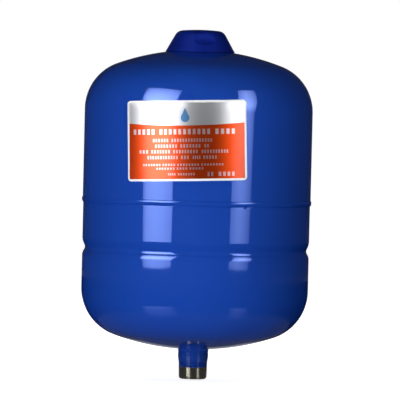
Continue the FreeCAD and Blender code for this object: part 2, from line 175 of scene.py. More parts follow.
class LabelSettings(bpy.types.PropertyGroup):
    field: FloatVectorProperty(
        name="Field", description="Colour of the printed field", subtype="COLOR",
        size=3, min=0, max=1, default=(0.80, 0.066, 0.001))
    foil: FloatVectorProperty(
        name="Foil", description="Colour of the bare silver film", subtype="COLOR",
        size=3, min=0, max=1, default=(0.80, 0.81, 0.85))
    border: FloatProperty(
        name="Border", description="Width of the white border",
        unit="LENGTH", precision=5, default=2.0 * MM)


class StageSettings(bpy.types.PropertyGroup):
    camera_distance: FloatProperty(
        name="Camera distance", description="From the camera to the tank's middle",
        unit="LENGTH", default=4.0)
    camera_elevation: FloatProperty(
        name="Camera elevation", description="Angle of the view above the horizon",
        subtype="ANGLE", default=math.radians(1.4))
    camera_roll: FloatProperty(
        name="Camera roll", description="Turn of the picture about the line of sight",
        subtype="ANGLE", default=math.radians(1.35))
    key_strength: FloatProperty(
        name="Left softbox", description="Radiance of the left softbox", default=8.4)
    second_strength: FloatProperty(
        name="Right softbox", description="Radiance of the right softbox", default=6.2)
    fill_strength: FloatProperty(
        name="Fills", description="Share of their set radiance at which the fills burn", default=1.0)


SETTINGS = {
    "tank_paint": PaintSettings,
    "tank_cover": CoverSettings,
    "tank_weld": WeldSettings,
    "tank_thread": ThreadSettings,
    "tank_label": LabelSettings,
    "tank_stage": StageSettings,
}


# Node helpers

WHITE = (1.0, 1.0, 1.0)

# A Mix node has sockets for each kind of data under the same names, so the colour ones go by number
MIX_FACTOR, MIX_FIRST, MIX_SECOND = 0, 6, 7
MIX_COLOUR = 2

# A noise keeps within about a quarter of its middle, and this brings it to the full range
NOISE_GAIN = 4.0
NODE_SPACING = 180


class Tree:
    """Short names for the calls that build a node tree."""

    def __init__(self, tree):
        self.tree = tree
        self.column = 0

    def node(self, kind, inputs=None, **values):
        made = self.tree.nodes.new(kind)
        made.location = (self.column * NODE_SPACING, 0)
        self.column += 1
        for name, value in values.items():
            setattr(made, name, value)
        self.fill(made, inputs or {})
        return made

    def fill(self, node, inputs):
        for name, value in inputs.items():
            self.put(node.inputs[name], value)

    def put(self, socket, value):
        if isinstance(value, bpy.types.NodeSocket):
            self.tree.links.new(value, socket)
        elif socket.type == "RGBA" and len(value) == 3:
            socket.default_value = (*value, 1.0)
        else:
            socket.default_value = value

    def math(self, operation, first, second=0.0, third=0.0, clamp=False):
        inputs = {0: first, 1: second, 2: third}
        return self.node("ShaderNodeMath", inputs, operation=operation, use_clamp=clamp).outputs[0]

    def plus(self, first, second):
        return self.math("ADD", first, second)

    def minus(self, first, second):
        return self.math("SUBTRACT", first, second)

    def times(self, first, second):
        return self.math("MULTIPLY", first, second)

    def mix(self, factor, first, second):
        made = self.node("ShaderNodeMix", data_type="RGBA")
        self.fill(made, {MIX_FACTOR: factor, MIX_FIRST: first, MIX_SECOND: second})
        return made.outputs[MIX_COLOUR]

    def ramp(self, value, low, high, to_low=0.0, to_high=1.0):
        """Straight step from to_low to to_high as value goes from low to high."""
        made = self.node("ShaderNodeMapRange", {
            "Value": value, "From Min": low, "From Max": high, "To Min": to_low, "To Max": to_high})
        return made.outputs["Result"]

    def split(self, vector):
        """X, Y and Z of a vector."""
        return self.node("ShaderNodeSeparateXYZ", {"Vector": vector}).outputs

    def length(self, first, second):
        """Length of the line whose two parts at right angles are given."""
        return self.math("SQRT", self.plus(self.math("POWER", first, 2.0), self.math("POWER", second, 2.0)))

    def within(self, value, low, high):
        """1 where value lies between low and high, otherwise 0."""
        return self.times(self.math("GREATER_THAN", value, low), self.math("LESS_THAN", value, high))

    def stops(self, value, levels):
        """Level that runs straight between (place, level) stops."""
        made = self.node("ShaderNodeValToRGB", {"Fac": value})
        marks = made.color_ramp.elements
        while len(marks) < len(levels):
            marks.new(0.5)
        for mark, (place, level) in zip(marks, levels):
            mark.position = place
            mark.color = (level, level, level, 1.0)
        return made.outputs["Color"]

    def noise(self, vector, scale, detail=2.0, roughness=0.5):
        made = self.node("ShaderNodeTexNoise", {
            "Vector": vector, "Scale": scale, "Detail": detail, "Roughness": roughness})
        return made.outputs["Fac"]

    def place(self):
        """Position on the object, in metres in the tank's own frame."""
        return self.node("ShaderNodeTexCoord").outputs["Object"]

    def output(self, kind, shader):
        """End the tree with a shader node's first output."""
        self.node("ShaderNodeOutput" + kind, {"Surface": shader.outputs[0]})

    def group(self, name, inputs):
        made = self.node("ShaderNodeGroup", node_tree=bpy.data.node_groups[name])
        self.fill(made, inputs)
        return made.outputs


def empty_tree(owner):
    """Switch on an owner's nodes and give back the Tree that fills them."""
    owner.use_nodes = True
    owner.node_tree.nodes.clear()
    return Tree(owner.node_tree)


def shader_group(name, inputs, outputs):
    """Empty shader node group with named sockets; each input is (name, type, default)."""
    tree = bpy.data.node_groups.new(name, "ShaderNodeTree")
    for label, kind, default in inputs:
        socket = tree.interface.new_socket(label, in_out="INPUT", socket_type="NodeSocket" + kind)
        if default is not None:
            socket.default_value = default
    for label, kind in outputs:
        tree.interface.new_socket(label, in_out="OUTPUT", socket_type="NodeSocket" + kind)
    entry = tree.nodes.new("NodeGroupInput")
    leave = tree.nodes.new("NodeGroupOutput")
    return Tree(tree), entry.outputs, leave.inputs


def build_drift_group():
    """Slow change of tone over a surface, with a fine grain on top."""
    patch_share = 0.7
    t, given, out = shader_group(
        "tone_drift",
        [("Position", "Vector", None), ("Color", "Color", (0.5, 0.5, 0.5, 1)),
         ("Patch Scale", "Float", 20.0), ("Grain Scale", "Float", 900.0), ("Amount", "Float", 0.05)],
        [("Color", "Color")])
    patches = t.noise(given["Position"], given["Patch Scale"], 3.0)
    grain = t.noise(given["Position"], given["Grain Scale"], 1.0)
    blend = t.plus(t.times(patches, patch_share), t.times(grain, 1 - patch_share))
    offset = t.times(t.minus(blend, 0.5), t.times(given["Amount"], NOISE_GAIN))
    tone = t.node("ShaderNodeHueSaturation", {"Color": given["Color"], "Value": t.plus(offset, 1.0)})
    t.put(out["Color"], tone.outputs["Color"])


def build_gloss_group():
    """Roughness that changes in soft patches, as on a handled or sprayed face."""
    t, given, out = shader_group(
        "gloss_patches",
        [("Position", "Vector", None), ("Scale", "Float", 30.0),
         ("Roughness", "Float", 0.3), ("Spread", "Float", 0.03)],
        [("Roughness", "Float")])
    patches = t.noise(given["Position"], given["Scale"], 4.0, 0.6)
    offset = t.times(t.minus(patches, 0.5), t.times(given["Spread"], NOISE_GAIN))
    t.put(out["Roughness"], t.math("ADD", given["Roughness"], offset, clamp=True))


def build_enamel_group():
    """Height of sprayed enamel in metres: long waves, orange peel and a few dust nibs."""
    wave_height = 0.012 * MM
    nib_height = 0.05 * MM
    nib_reach = 0.018
    bare_share = 0.86
    t, given, out = shader_group(
        "enamel_height",
        [("Position", "Vector", None), ("Peel", "Float", 0.0006 * MM)],
        [("Height", "Float")])
    waves = t.times(t.noise(given["Position"], 30.0, 1.0), wave_height)
    peel = t.times(t.noise(given["Position"], 420.0, 2.0), given["Peel"])
    cells = t.node("ShaderNodeTexVoronoi", {"Vector": given["Position"], "Scale": 55.0})
    lot = t.node("ShaderNodeSeparateColor", {"Color": cells.outputs["Color"]}).outputs[0]
    chosen = t.math("GREATER_THAN", lot, bare_share)
    nib = t.times(t.ramp(cells.outputs["Distance"], 0.0, nib_reach, 1.0, 0.0), nib_height)
    t.put(out["Height"], t.plus(t.plus(waves, peel), t.times(nib, chosen)))


def build_lathe_group():
    """Height in metres of fine turning marks round the tank's axis."""
    t, given, out = shader_group(
        "turning_marks",
        [("Position", "Vector", None), ("Pitch", "Float", 0.25 * MM), ("Depth", "Float", 0.003 * MM)],
        [("Height", "Float")])
    parts = t.split(given["Position"])
    along = t.math("DIVIDE", t.plus(parts[2], t.length(parts[0], parts[1])), given["Pitch"])
    marks = t.math("MULTIPLY_ADD", t.math("SINE", t.times(along, 2 * math.pi)), 0.5, 0.5)
    uneven = t.times(marks, t.noise(given["Position"], 700.0, 2.0))
    t.put(out["Height"], t.times(uneven, given["Depth"]))


def build_block_group():
    """Row of plain printed blocks: a mask from the label's own coordinates in millimetres."""
    t, given, out = shader_group(
        "printed_blocks",
        [("Across", "Float", 0.0), ("Up", "Float", 0.0), ("Left", "Float", 0.0), ("Right", "Float", 10.0),
         ("Base", "Float", 0.0), ("Height", "Float", 2.0), ("Blocks", "Float", 5.0), ("Fill", "Float", 0.6)],
        [("Mask", "Float")])
    share = t.math("DIVIDE", t.minus(given["Across"], given["Left"]), t.minus(given["Right"], given["Left"]))
    in_row = t.within(share, 0.0, 1.0)
    in_block = t.math("LESS_THAN", t.math("FRACT", t.times(share, given["Blocks"])), given["Fill"])
    rise = t.minus(given["Up"], given["Base"])
    in_height = t.within(rise, 0.0, given["Height"])
    t.put(out["Mask"], t.times(t.times(in_row, in_block), in_height))


def build_groups():
    """Make each node group once, before the first material uses it."""
    build_drift_group()
    build_gloss_group()
    build_enamel_group()
    build_lathe_group()
    build_block_group()


# Materials

def new_material(name):
    """Material with a Principled shader, and the Tree that builds its nodes."""
    material = bpy.data.materials.new(name)
    t = empty_tree(material)
    shader = t.node("ShaderNodeBsdfPrincipled")
    t.output("Material", shader)
    return material, t, shader


def bump(t, shader, height):
    """Height in metres drives the shader's normal."""
    made = t.node("ShaderNodeBump", {"Strength": 1.0, "Distance": 1.0, "Height": height})
    t.put(shader.inputs["Normal"], made.outputs["Normal"])


def surface(t, shader, place, colour, roughness, tone, gloss):
    """Drifting colour and patchy gloss: tone is (patch scale, grain scale, amount), gloss (scale, spread)."""
    patch_scale, grain_scale, amount = tone
    gloss_scale, spread = gloss
    drift = t.group("tone_drift", {
        "Position": place, "Color": colour, "Patch Scale": patch_scale, "Grain Scale": grain_scale,
        "Amount": amount})
    patches = t.group("gloss_patches", {
        "Position": place, "Scale": gloss_scale, "Roughness": roughness, "Spread": spread})
    t.fill(shader, {"Base Color": drift["Color"], "Roughness": patches["Roughness"]})


def paint_material(paint):
    """Sprayed blue enamel with a hard gloss."""
    material, t, shader = new_material("blue_enamel")
    place = t.place()
    surface(t, shader, place, paint.colour, paint.roughness, (14.0, 500.0, 0.035), (40.0, 0.008))
    t.fill(shader, {"IOR": 1.8, "Specular IOR Level": 1.0, "Specular Tint": paint.sheen})
    bump(t, shader, t.group("enamel_height", {"Position": place, "Peel": paint.peel})["Height"])
    return material


def nipple_material(paint, thread):
    """Bare plated steel at the end of the thread, enamel darkened by painted shade above it, with an uneven
    edge between.
    """
    bare_colour = (0.60, 0.58, 0.49)
    # Painted shade: the nipple's enamel takes 0.62 of the tank's colour, a darkening that stands in for the
    # shade it sits in under the tank
    shaded_enamel_colour = [0.62 * part for part in paint.colour]
    bare_roughness = 0.13
    enamel_roughness = 0.10
    bore_edge = 9.6 * MM
    edge_wander = 1.6 * MM
    edge_half_width = 0.2 * MM
    material, t, shader = new_material("nipple_finish")
    place = t.place()
    parts = t.split(place)
    outside = t.math("GREATER_THAN", t.length(parts[0], parts[1]), bore_edge)
    edge = t.times(t.minus(t.noise(place, 260.0, 2.0), 0.5), edge_wander)
    height = t.plus(parts[2], edge)
    painted = t.times(outside, t.ramp(
        height, thread.paint_edge - edge_half_width, thread.paint_edge + edge_half_width))
    steel = t.group("tone_drift", {
        "Position": place, "Color": bare_colour, "Patch Scale": 160.0, "Grain Scale": 2500.0, "Amount": 0.10})
    enamel = t.group("tone_drift", {
        "Position": place, "Color": shaded_enamel_colour, "Patch Scale": 60.0, "Grain Scale": 900.0, "Amount": 0.05})
    t.fill(shader, {
        "Base Color": t.mix(painted, steel["Color"], enamel["Color"]),
        "Metallic": t.minus(1.0, painted),
        "Roughness": t.ramp(painted, 0.0, 1.0, bare_roughness, enamel_roughness)})
    marks = t.group("turning_marks", {"Position": place, "Pitch": 0.3 * MM, "Depth": 0.004 * MM})
    bump(t, shader, marks["Height"])
    return material


def metal_material(name, colour, roughness, pitch, depth):
    """Turned or drawn metal with fine marks round the axis."""
    material, t, shader = new_material(name)
    place = t.place()
    surface(t, shader, place, colour, roughness, (120.0, 2500.0, 0.06), (220.0, 0.04))
    t.put(shader.inputs["Metallic"], 1.0)
    bump(t, shader, t.group("turning_marks", {"Position": place, "Pitch": pitch, "Depth": depth})["Height"])
    return material


def moulded_material(name, colour, roughness, grain_scale, grain_height, tint=WHITE):
    """Moulded plastic or rubber: slight drift of tone and the fine grain of the mould."""
    material, t, shader = new_material(name)
    place = t.place()
    surface(t, shader, place, colour, roughness, (60.0, grain_scale, 0.05), (120.0, 0.04))
    t.put(shader.inputs["Specular Tint"], tint)
    bump(t, shader, t.times(t.noise(place, grain_scale, 3.0), grain_height))
    return material


# Plain printed blocks, in millimetres from the label's middle: base and height of each line, then
# left edge, right edge and number of blocks for each row in it
PRINTED_LINES = (
    (5.7, 4.8, ((-49.5, -26.5, 5), (-23.5, 24.0, 11), (27.0, 47.0, 4))),
    (-1.1, 3.0, ((-30.0, -14.5, 6), (-12.5, 25.0, 15))),
    (-6.2, 3.0, ((-28.0, -6.5, 8), (-4.5, 14.5, 7), (17.0, 22.0, 2))),
    (-11.2, 3.0, ((-43.5, -33.5, 3), (-31.5, -13.0, 7), (-11.0, 12.0, 9), (14.5, 39.5, 10))),
    (-16.4, 3.0, ((-35.5, -6.0, 12), (-4.0, 4.0, 3), (6.5, 14.0, 4), (16.0, 29.0, 5))),
    (-22.4, 1.9, ((-40.0, -22.0, 7), (-21.0, -8.5, 5), (-7.5, 13.0, 8), (14.0, 35.0, 8))),
    (-25.8, 1.9, ((-27.0, -9.0, 7), (-8.0, 2.5, 4), (3.5, 17.0, 5))),
    (-30.9, 2.0, ((-16.0, -8.5, 4), (-7.0, 9.0, 7))),
    (-31.9, 3.8, ((19.5, 26.0, 2), (29.5, 46.0, 4))),
)
BLOCK_FILL = 0.58
TALL_LINE = 4.0
TALL_INK = 0.75
SMALL_INK = 0.55

# The drop and the header's lower edge, in millimetres
DROP_RADIUS = 3.9
DROP_HEIGHT = 20.6
DROP_COLOUR = (0.10, 0.30, 0.62)
HEADER_BASE = 13.6
HEADER_RISE = 2.4
HEADER_HALF = 57.0
BORDER_COLOUR = (0.92, 0.93, 0.94)


def drop_mask(t, across, up):
    """Plain water drop in the header: a disc with a point above it."""
    point_top = 2.3 * DROP_RADIUS
    point_base = 0.35 * DROP_RADIUS
    point_slope = 0.45
    rise = t.minus(up, DROP_HEIGHT)
    disc_part = t.math("LESS_THAN", t.length(across, rise), DROP_RADIUS)
    narrowing = t.times(t.minus(point_top, rise), point_slope)
    beside_axis = t.math("LESS_THAN", t.math("ABSOLUTE", across), narrowing)
    point_part = t.times(t.math("GREATER_THAN", rise, point_base), beside_axis)
    return t.math("MAXIMUM", disc_part, point_part)


def label_place(t, place):
    """Millimetres across and up from the label's middle, measured on the flat label."""
    low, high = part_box("rating_label")
    parts = t.split(place)
    azimuth = t.math("ARCTAN2", parts[0], t.times(parts[1], -1.0))
    flat_x = t.times(t.minus(azimuth, LABEL_AZIMUTH), SHELL_RADIUS / MM)
    flat_z = t.math("DIVIDE", t.minus(parts[2], (low.z + high.z) / 2), MM)
    across = t.plus(t.times(flat_x, math.cos(LABEL_TILT)), t.times(flat_z, math.sin(LABEL_TILT)))
    up = t.minus(t.times(flat_z, math.cos(LABEL_TILT)), t.times(flat_x, math.sin(LABEL_TILT)))
    return across, up


def printed_ink(t, across, up):
    """How far the printed blocks cover the field."""
    ink = 0.0
    for base, height, rows in PRINTED_LINES:
        strength = TALL_INK if height > TALL_LINE else SMALL_INK
        for left, right, blocks in rows:
            row = t.group("printed_blocks", {
                "Across": across, "Up": up, "Left": left, "Right": right, "Base": base, "Height": height,
                "Blocks": float(blocks), "Fill": BLOCK_FILL})
            ink = t.math("MAXIMUM", ink, t.times(row["Mask"], strength))
    return ink


def label_material(label):
    """Silver film under a transparent orange field, with a white border and plain printed blocks."""
    film_metal = 0.88
    slope_left, slope_right = -10.0, 45.0
    left_roughness, right_roughness = 0.335, 0.345
    crinkle_height = 0.01 * MM
    lift_start = 2.0
    lift_height = 0.017 * MM
    lift_power = 1.3
    material, t, shader = new_material("label_film")
    place = t.place()
    across, up = label_place(t, place)
    ink = printed_ink(t, across, up)
    sag = t.times(t.math("POWER", t.math("DIVIDE", across, HEADER_HALF), 2.0), HEADER_RISE)
    header = t.math("GREATER_THAN", t.minus(up, sag), HEADER_BASE)
    half_width = LABEL_WIDTH / 2 - label.border / MM
    half_height = LABEL_HEIGHT / 2 - label.border / MM
    inner = t.times(t.within(across, -half_width, half_width), t.within(up, -half_height, half_height))
    field = t.times(inner, t.minus(1.0, header))
    orange = t.times(field, t.minus(1.0, ink))
    border = t.minus(1.0, inner)
    colour = t.mix(orange, label.foil, label.field)
    colour = t.mix(drop_mask(t, across, up), colour, DROP_COLOUR)
    brushed = t.ramp(across, slope_left, slope_right, left_roughness, right_roughness)
    gloss = t.group("gloss_patches", {
        "Position": place, "Scale": 90.0, "Roughness": brushed, "Spread": 0.02})
    t.fill(shader, {
        "Base Color": t.mix(border, colour, BORDER_COLOUR), "Metallic": t.times(inner, film_metal),
        "Roughness": gloss["Roughness"], "Coat Weight": 1.0, "Coat Roughness": 0.18, "Coat IOR": 1.47})
    crinkle = t.times(t.noise(place, 160.0, 2.0), crinkle_height)
    past_start = t.math("MAXIMUM", t.minus(across, lift_start), 0.0)
    lift = t.times(t.math("POWER", past_start, lift_power), lift_height)
    bump(t, shader, t.minus(crinkle, lift))
    return material


# Meshes

def object_from(name, points, faces, smooth_angle=30.0):
    """Object with a smooth-shaded mesh, sharp only where faces meet at more than smooth_angle."""
    mesh = bpy.data.meshes.new(name)
    mesh.from_pydata(points, [], faces)
    mesh.validate()
    mesh.polygons.foreach_set("use_smooth", [True] * len(mesh.polygons))
    mesh.set_sharp_from_angle(angle=math.radians(smooth_angle))
    made = bpy.data.objects.new(name, mesh)
    bpy.context.scene.collection.objects.link(made)
    return made


def swept(name, columns, closed_rows, smooth_angle=30.0):
    """Mesh of rows of points round the axis; columns is a list of rings, each the same length."""
    rows = len(columns[0])
    points = [point for column in columns for point in column]
    faces = []
    last = rows if closed_rows else rows - 1
    for i in range(len(columns)):
        here = i * rows
        there = ((i + 1) % len(columns)) * rows
        for j in range(last):
            k = (j + 1) % rows
            faces.append((here + j, there + j, there + k, here + k))
    return object_from(name, points, faces, smooth_angle)


def on_axis(radius, azimuth, height):
    """Point at a radius and an azimuth measured from the front, -Y, towards +X."""
    return (radius * math.sin(azimuth), -radius * math.cos(azimuth), height)


def turned(name, profile, steps, closed_rows, smooth_angle=30.0):
    """Mesh of a profile of (radius, height) points turned about the axis."""
    columns = []
    for i in range(steps):
        azimuth = 2 * math.pi * i / steps
        columns.append([on_axis(radius, azimuth, height) for radius, height in profile])
    return swept(name, columns, closed_rows, smooth_angle)


def turned_by(azimuth, other):
    """Smallest turn from one azimuth to another."""
    return (azimuth - other + math.pi) % (2 * math.pi) - math.pi


def along_arc(centre, radius, start, end):
    """Points on an arc, angles from outward, +R, towards up."""
    step = math.radians(1.5)
    count = max(2, math.ceil(abs(end - start) / step))
    angles = [start + (end - start) * i / count for i in range(count + 1)]
    return [Vector((centre[0] + radius * math.cos(a), centre[1] + radius * math.sin(a))) for a in angles]


def along_line(start, end):
    """Points on a straight run, close together near its ends so that shading stays true there."""
    start = Vector(start)
    end = Vector(end)
    length = (end - start).length
    near = [x * MM for x in (0.0, 0.3, 0.8, 1.6, 3.0, 6.0)]
    near = [x for x in near if x < length / 2]
    spots = near + [length - x for x in reversed(near)]
    return [start + (end - start) * (x / length) for x in spots]


def along_bends(corners, bends):
    """Points on a run of straight pieces whose inner corners are rounded to the given radii."""
    step = math.radians(2.0)
    corners = [Vector(corner) for corner in corners]
    path = []
    start = corners[0]
    for before, corner, after, bend in zip(corners, corners[1:], corners[2:], bends):
        way_in = (corner - before).normalized()
        way_out = (after - corner).normalized()
        half = way_in.angle(way_out) / 2
        if not bend:
            path += along_line(start, corner)
            start = corner
            continue
        enter = corner - way_in * (bend * math.tan(half))
        leave = corner + way_out * (bend * math.tan(half))
        centre = corner + (way_out - way_in).normalized() * (bend / math.cos(half))
        first = enter - centre
        sweep = first.angle_signed(leave - centre)
        path += along_line(start, enter)
        count = max(3, math.ceil(abs(sweep) / step))
        for i in range(1, count):
            path.append(centre + Matrix.Rotation(-sweep * i / count, 2) @ first)
        start = leave
    return path + along_line(start, corners[-1])


def head_points(radius, crown_radius, tangent_height, up, hole):
    """Dished end from a hole round the axis out to the skirt; up is 1 above and -1 below."""
    slant = crown_radius - KNUCKLE_RADIUS
    reach = radius - KNUCKLE_RADIUS
    spread = math.asin(reach / slant)
    crown_height = tangent_height - up * slant * math.cos(spread)
    crown = along_arc((0.0, crown_height), crown_radius,
                      up * (math.pi / 2 - math.asin(hole / crown_radius)), up * (math.pi / 2 - spread))
    knuckle = along_arc((reach, tangent_height), KNUCKLE_RADIUS, up * (math.pi / 2 - spread), 0.0)
    return crown + knuckle[1:]


def turned_sheet(name, outside, side):
    """Sheet turned about the axis from the points of its outside; the inside lies a wall away.

    side is -1 where the points run down and 1 where they run up. The inside takes every third point.
    """
    least_step = 0.02 * MM
    steps = 240
    path = [outside[0]]
    for point in outside[1:]:
        if (point - path[-1]).length > least_step:
            path.append(point)
    inside = []
    for i in range(0, len(path), 3):
        step = path[min(i + 1, len(path) - 1)] - path[max(i - 1, 0)]
        inside.append(path[i] + Vector((-step.y, step.x)).normalized() * SHELL_WALL * side)
    loop = path + list(reversed(inside))
    if side < 0:
        loop.reverse()
    return turned(name, loop, steps, True)


def upper_sheet():
    """Upper dome and skirt, down to the seam."""
    tangent = SEAM_HEIGHT + UPPER_SKIRT
    head = head_points(SHELL_RADIUS, UPPER_CROWN_RADIUS, tangent, 1, UPPER_HOLE_RADIUS)
    skirt = along_line((SHELL_RADIUS, tangent), (SHELL_RADIUS, SEAM_HEIGHT + SEAM_GAP))
    return turned_sheet("upper_sheet", head + skirt[1:], -1)


def lower_sheet():
    """Lower dome, skirt with its rolled groove, and the lip that stands in the upper shell."""
    tangent = SEAM_HEIGHT - LOWER_SKIRT
    groove = SEAM_HEIGHT - GROOVE_DROP
    rise = GROOVE_DEPTH / math.tan(GROOVE_UPPER_SLOPE)
    fall = GROOVE_DEPTH / math.tan(GROOVE_LOWER_SLOPE)
    lip = SHELL_RADIUS - SHELL_WALL - LIP_CLEARANCE
    bends = (9 * MM, 4.5 * MM, 12 * MM, 0, 0)
    head = head_points(LOWER_RADIUS, LOWER_CROWN_RADIUS, tangent, -1, LOWER_HOLE_RADIUS)
    skirt = along_bends(
        [(LOWER_RADIUS, tangent), (LOWER_RADIUS, groove - fall), (LOWER_RADIUS - GROOVE_DEPTH, groove),
         (LOWER_RADIUS, groove + rise), (LOWER_RADIUS, SEAM_HEIGHT - JOGGLE_START),
         (lip, SEAM_HEIGHT - SEAM_GAP), (lip, SEAM_HEIGHT + LIP_HEIGHT)], bends)
    return turned_sheet("lower_sheet", head + skirt[1:], 1)


def weld_bead(weld):
    """Girth bead with fine ripples, a slow wander and one small run of paint below it."""
    profile_points = 23
    steps_per_ripple = 7
    phase_drift = 1.4
    phase_scale, wander_scale, sink_scale = 18.0, 5.0, 9.0
    sink_shift = Vector((4, 0, 0))
    roundness = 0.65
    rise = 0.45 * MM
    root_depth = 0.12 * MM
    wander_height = 0.16 * MM
    sink_depth = 0.10 * MM
    run_turn = 0.0125
    run_drop = 1.5 * MM
    run_bulge = 0.55 * MM
    least_margin = 0.02 * MM
    ripples = round(2 * math.pi * SHELL_RADIUS / weld.ripple_pitch)
    steps = ripples * steps_per_ripple
    columns = []
    for i in range(steps):
        azimuth = 2 * math.pi * i / steps
        spot = Vector((math.cos(azimuth), math.sin(azimuth), 0.0))
        phase = ripples * azimuth + phase_drift * noise.noise(spot * phase_scale)
        ripple = weld.ripple_depth * (0.5 + 0.5 * math.cos(phase)) ** 2
        wander = rise + wander_height * noise.noise(spot * wander_scale)
        sink = sink_depth * (0.5 + 0.5 * noise.noise(spot * sink_scale + sink_shift))
        run = math.exp(-(turned_by(azimuth, weld.run_azimuth) / run_turn) ** 2)
        top = SEAM_HEIGHT + weld.width / 2 + wander
        bottom = SEAM_HEIGHT - weld.width / 2 + wander - run_drop * run
        crest = weld.proud + root_depth - sink - ripple
        column = []
        for j in range(profile_points):
            share = 1 - j / (profile_points - 1)
            arch = math.sin(math.pi * share) ** roundness
            base = SHELL_RADIUS + (LOWER_RADIUS - SHELL_RADIUS) * share - root_depth
            swell = crest * arch + run_bulge * run * arch * share
            reach = base + min(swell, weld.proud - least_margin)
            column.append(on_axis(reach, azimuth, top + (bottom - top) * share))
        columns.append(column)
    return swept("weld_bead", columns, False, 40.0)


def threaded_nipple(thread):
    """Nipple with its helical tapered thread, collar, bore and counterbore."""
    end_radius = 13.02 * MM
    pipe_radius = 13.335 * MM
    taper = 1 / 32
    length = 16.5 * MM
    collar_radius = 13.85 * MM
    collar_start = 20.5 * MM
    bore_radius = 9.0 * MM
    counterbore_radius = 12.0 * MM
    counterbore_floor = NIPPLE_TOP - 11.0 * MM
    chamfer = 2.6 * MM
    bevel_reach = 1.4 * chamfer
    run_out = 3.4 * MM
    thread_end = length + 1.0 * MM
    rows_end = length + 1.2 * MM
    ring_height = 24.1 * MM
    ring_depth = 0.3 * MM
    ring_half_width = 0.55 * MM
    bore_chamfer = 0.4 * MM
    steps = 160
    rows_per_pitch = 18
    flank = (1 - thread.crest - thread.root) / 2

    def groove(turn):
        """Share of the thread's depth at a share of its pitch."""
        turn %= 1.0
        if turn < thread.crest:
            return 0.0
        if turn < thread.crest + flank:
            return (turn - thread.crest) / flank
        if turn < thread.crest + flank + thread.root:
            return 1.0
        return (1.0 - turn) / flank

    def outside(height, azimuth):
        """Radius of the nipple's outside at a height and an azimuth."""
        cone = min(pipe_radius, end_radius + height * taper)
        if height > length:
            cone += (collar_radius - pipe_radius) * min(1.0, (height - length) / (collar_start - length))
        fade = min(1.0, max(0.0, (thread_end - height) / run_out))
        cut = thread.depth * fade * groove(height / thread.pitch - azimuth / (2 * math.pi))
        ring = ring_depth * max(0.0, 1 - abs(height - ring_height) / ring_half_width)
        bevel = end_radius - max(0.0, chamfer - height) ** 2 / bevel_reach
        return min(cone - cut, bevel if height < chamfer else cone) - ring

    rows = int(rows_end / thread.pitch * rows_per_pitch)
    heights = [i * rows_end / rows for i in range(rows + 1)]
    collar_heights = (
        18.4, 19.2, 20.0, 20.5, 21.5, 22.6, 23.3, 23.55, 23.8, 24.1, 24.4, 24.65, 24.9, 25.6, 26.6)
    heights += [height * MM for height in collar_heights] + [NIPPLE_TOP]
    inside = (
        (counterbore_radius, NIPPLE_TOP), (counterbore_radius, counterbore_floor),
        (bore_radius, counterbore_floor), (bore_radius, bore_chamfer), (bore_radius + bore_chamfer, 0.0))
    columns = []
    for i in range(steps):
        azimuth = 2 * math.pi * i / steps
        column = [on_axis(outside(height, azimuth), azimuth, height) for height in heights]
        column += [on_axis(radius, azimuth, height) for radius, height in inside]
        columns.append(column)
    return swept("threaded_nipple", columns, True, 35.0)


def wound_spring(low, high):
    """Coil spring between two heights on the axis, with its wire cut flat at both ends."""
    steps_per_turn = 32
    sides = 10
    steps = SPRING_TURNS * steps_per_turn
    climb = high - low - 2 * SPRING_WIRE_RADIUS
    points = []
    faces = [tuple(range(sides)), tuple(reversed(range(steps * sides, (steps + 1) * sides)))]
    for i in range(steps + 1):
        azimuth = 2 * math.pi * SPRING_TURNS * i / steps
        centre = low + SPRING_WIRE_RADIUS + climb * i / steps
        for j in range(sides):
            turn = 2 * math.pi * j / sides
            reach = SPRING_COIL_RADIUS + SPRING_WIRE_RADIUS * math.cos(turn)
            height = centre + SPRING_WIRE_RADIUS * math.sin(turn)
            points.append((reach * math.cos(azimuth), reach * math.sin(azimuth), height))
    for here in range(0, steps * sides, sides):
        there = here + sides
        for j in range(sides):
            k = (j + 1) % sides
            faces.append((here + j, there + j, there + k, here + k))
    return object_from("wound_spring", points, faces)


# Stage

def look_at(obj, target, roll=0.0):
    """Turn an object's -Z towards a point."""
    away = obj.location - Vector(target)
    turn = away.to_track_quat("Z", "Y").to_matrix().to_4x4()
    obj.matrix_world = Matrix.Translation(obj.location) @ turn @ Matrix.Rotation(roll, 4, "Z")


def emission(name, strength):
    """Material that glows white and reflects nothing."""
    material = bpy.data.materials.new(name)
    t = empty_tree(material)
    glow = t.node("ShaderNodeEmission", {"Color": WHITE, "Strength": strength})
    t.output("Material", glow)
    return material


def gloss_only(obj):
    """Show an object in gloss, and neither to the camera nor in soft light and shadow."""
    obj.visible_camera = False
    obj.visible_diffuse = False
    obj.visible_shadow = False


def softbox(name, strength, azimuth, distance, low, high, edges, across, rise):
    """Upright area light with a leaning outline and a hot middle.

    edges holds where the lit face ends, in metres from its middle: left and right at its foot, then
    left and right at its top. across and rise are (place, level) stops from side to side and upward.
    """
    left_foot, right_foot, left_top, right_top = edges
    dark_rim = 0.02
    half = max(abs(edge) for edge in edges) + dark_rim
    data = bpy.data.lights.new(name, "AREA")
    data.shape = "RECTANGLE"
    data.size = 2 * half
    data.size_y = high - low
    data.energy = math.pi * data.size * data.size_y
    t = empty_tree(data)
    parts = t.split(t.node("ShaderNodeNewGeometry").outputs["Parametric"])
    place = t.ramp(parts[0], 0.0, 1.0, -half, half)
    left = t.ramp(parts[1], 0.0, 1.0, left_foot, left_top)
    right = t.ramp(parts[1], 0.0, 1.0, right_foot, right_top)
    share = t.math("DIVIDE", t.minus(place, left), t.minus(right, left))
    level = t.times(t.stops(share, across), t.stops(parts[1], rise))
    power = t.times(t.times(level, t.within(share, 0.0, 1.0)), strength)
    glow = t.node("ShaderNodeEmission", {"Color": WHITE, "Strength": power})
    t.output("Light", glow)
    light = bpy.data.objects.new(name, data)
    bpy.context.scene.collection.objects.link(light)
    light.location = on_axis(distance, math.radians(azimuth), (low + high) / 2)
    look_at(light, (0, 0, (low + high) / 2))
    light.visible_camera = False
    return light


